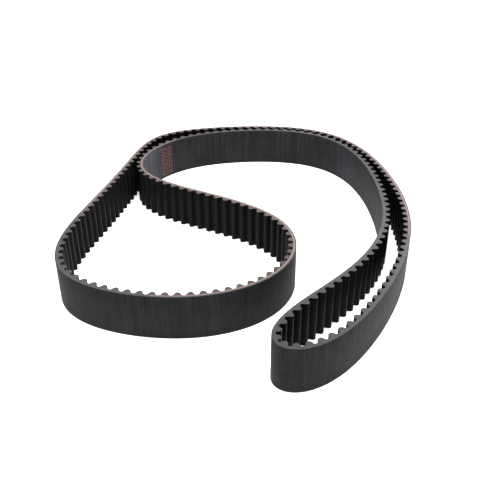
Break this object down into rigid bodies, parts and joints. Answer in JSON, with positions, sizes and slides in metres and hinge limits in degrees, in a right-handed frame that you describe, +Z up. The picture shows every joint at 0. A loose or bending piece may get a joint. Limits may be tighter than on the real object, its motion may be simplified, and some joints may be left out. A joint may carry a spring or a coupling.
{
  "type": "timing belt",
  "caption": "Endless toothed rubber belt with rounded inner teeth and a smooth back, standing on edge in a C-shaped fold that flexes along its loops.",
  "frame": {"origin": "under the middle of the fold's plan box, on the surface that the belt stands on", "axes": "+Z up, across the belt's width; +Y away from the two loops, towards the middle of the arcs; +X towards the narrow loop"},
  "size_m": [0.2516, 0.3226, 0.032],
  "materials": {
    "backing_rubber": "matt moulded rubber with faint ground streaks across the width",
    "glass_cord": "cut ends and side of the twisted glass cords, tan with pink treatment",
    "tooth_rubber": "cut rubber, matt grey",
    "facing_nylon": "black woven nylon facing",
    "mark_ink": "faded red-brown ink"
  },
  "bodies": {
    "arcs": {"inner_arc_backing": "backing_rubber", "inner_arc_cords": "glass_cord", "inner_arc_teeth": "tooth_rubber", "inner_arc_facing": "facing_nylon", "outer_arc_backing": "backing_rubber", "outer_arc_cords": "glass_cord", "outer_arc_teeth": "tooth_rubber", "outer_arc_facing": "facing_nylon", "print_mark": "mark_ink"},
    "front_run": {"front_run_backing": "backing_rubber", "front_run_cords": "glass_cord", "front_run_teeth": "tooth_rubber", "front_run_facing": "facing_nylon"},
    "inner_run": {"inner_run_backing": "backing_rubber", "inner_run_cords": "glass_cord", "inner_run_teeth": "tooth_rubber", "inner_run_facing": "facing_nylon"},
    "right_loop_inner_side": {"right_loop_inner_side_backing": "backing_rubber", "right_loop_inner_side_cords": "glass_cord", "right_loop_inner_side_teeth": "tooth_rubber", "right_loop_inner_side_facing": "facing_nylon"},
    "right_loop_nose": {"right_loop_nose_backing": "backing_rubber", "right_loop_nose_cords": "glass_cord", "right_loop_nose_teeth": "tooth_rubber", "right_loop_nose_facing": "facing_nylon"},
    "right_loop_outer_side": {"right_loop_outer_side_backing": "backing_rubber", "right_loop_outer_side_cords": "glass_cord", "right_loop_outer_side_teeth": "tooth_rubber", "right_loop_outer_side_facing": "facing_nylon"},
    "left_run": {"left_run_backing": "backing_rubber", "left_run_cords": "glass_cord", "left_run_teeth": "tooth_rubber", "left_run_facing": "facing_nylon"}
  },
  "joints": [
    {"name": "left_loop_sway", "type": "hinge", "parent": "arcs", "child": "left_run", "pos_m": [-0.1224, -0.02765, 0.016], "axis": [0, 0, 1], "range_deg": [-8, 8], "stiffness_Nm_per_rad": 0.5},
    {"name": "front_run_flex", "type": "hinge", "parent": "left_run", "child": "front_run", "pos_m": [-0.05864, -0.10949, 0.016], "axis": [0, 0, 1], "range_deg": [-8, 8], "stiffness_Nm_per_rad": 0.5},
    {"name": "inner_run_flex", "type": "hinge", "parent": "arcs", "child": "inner_run", "pos_m": [-0.02754, 0.02517, 0.016], "axis": [0, 0, 1], "range_deg": [-8, 8], "stiffness_Nm_per_rad": 0.5},
    {"name": "right_loop_squeeze", "type": "hinge", "parent": "arcs", "child": "right_loop_inner_side", "pos_m": [0.10092, -0.03091, 0.016], "axis": [0, 0, 1], "range_deg": [-8, 8], "stiffness_Nm_per_rad": 0.5},
    {"name": "nose_flex", "type": "hinge", "parent": "right_loop_inner_side", "child": "right_loop_nose", "pos_m": [0.05185, -0.1029, 0.016], "axis": [0, 0, 1], "range_deg": [-8, 8], "stiffness_Nm_per_rad": 0.5},
    {"name": "right_side_flex", "type": "hinge", "parent": "arcs", "child": "right_loop_outer_side", "pos_m": [0.10432, -0.07603, 0.016], "axis": [0, 0, 1], "range_deg": [-8, 8], "stiffness_Nm_per_rad": 0.5}
  ],
  "couplings": [
    {"joint": "front_run_flex", "follows": "left_loop_sway", "ratio": -1},
    {"joint": "inner_run_flex", "follows": "left_loop_sway", "ratio": 1},
    {"joint": "nose_flex", "follows": "right_loop_squeeze", "ratio": -1},
    {"joint": "right_side_flex", "follows": "right_loop_squeeze", "ratio": 1}
  ]
}
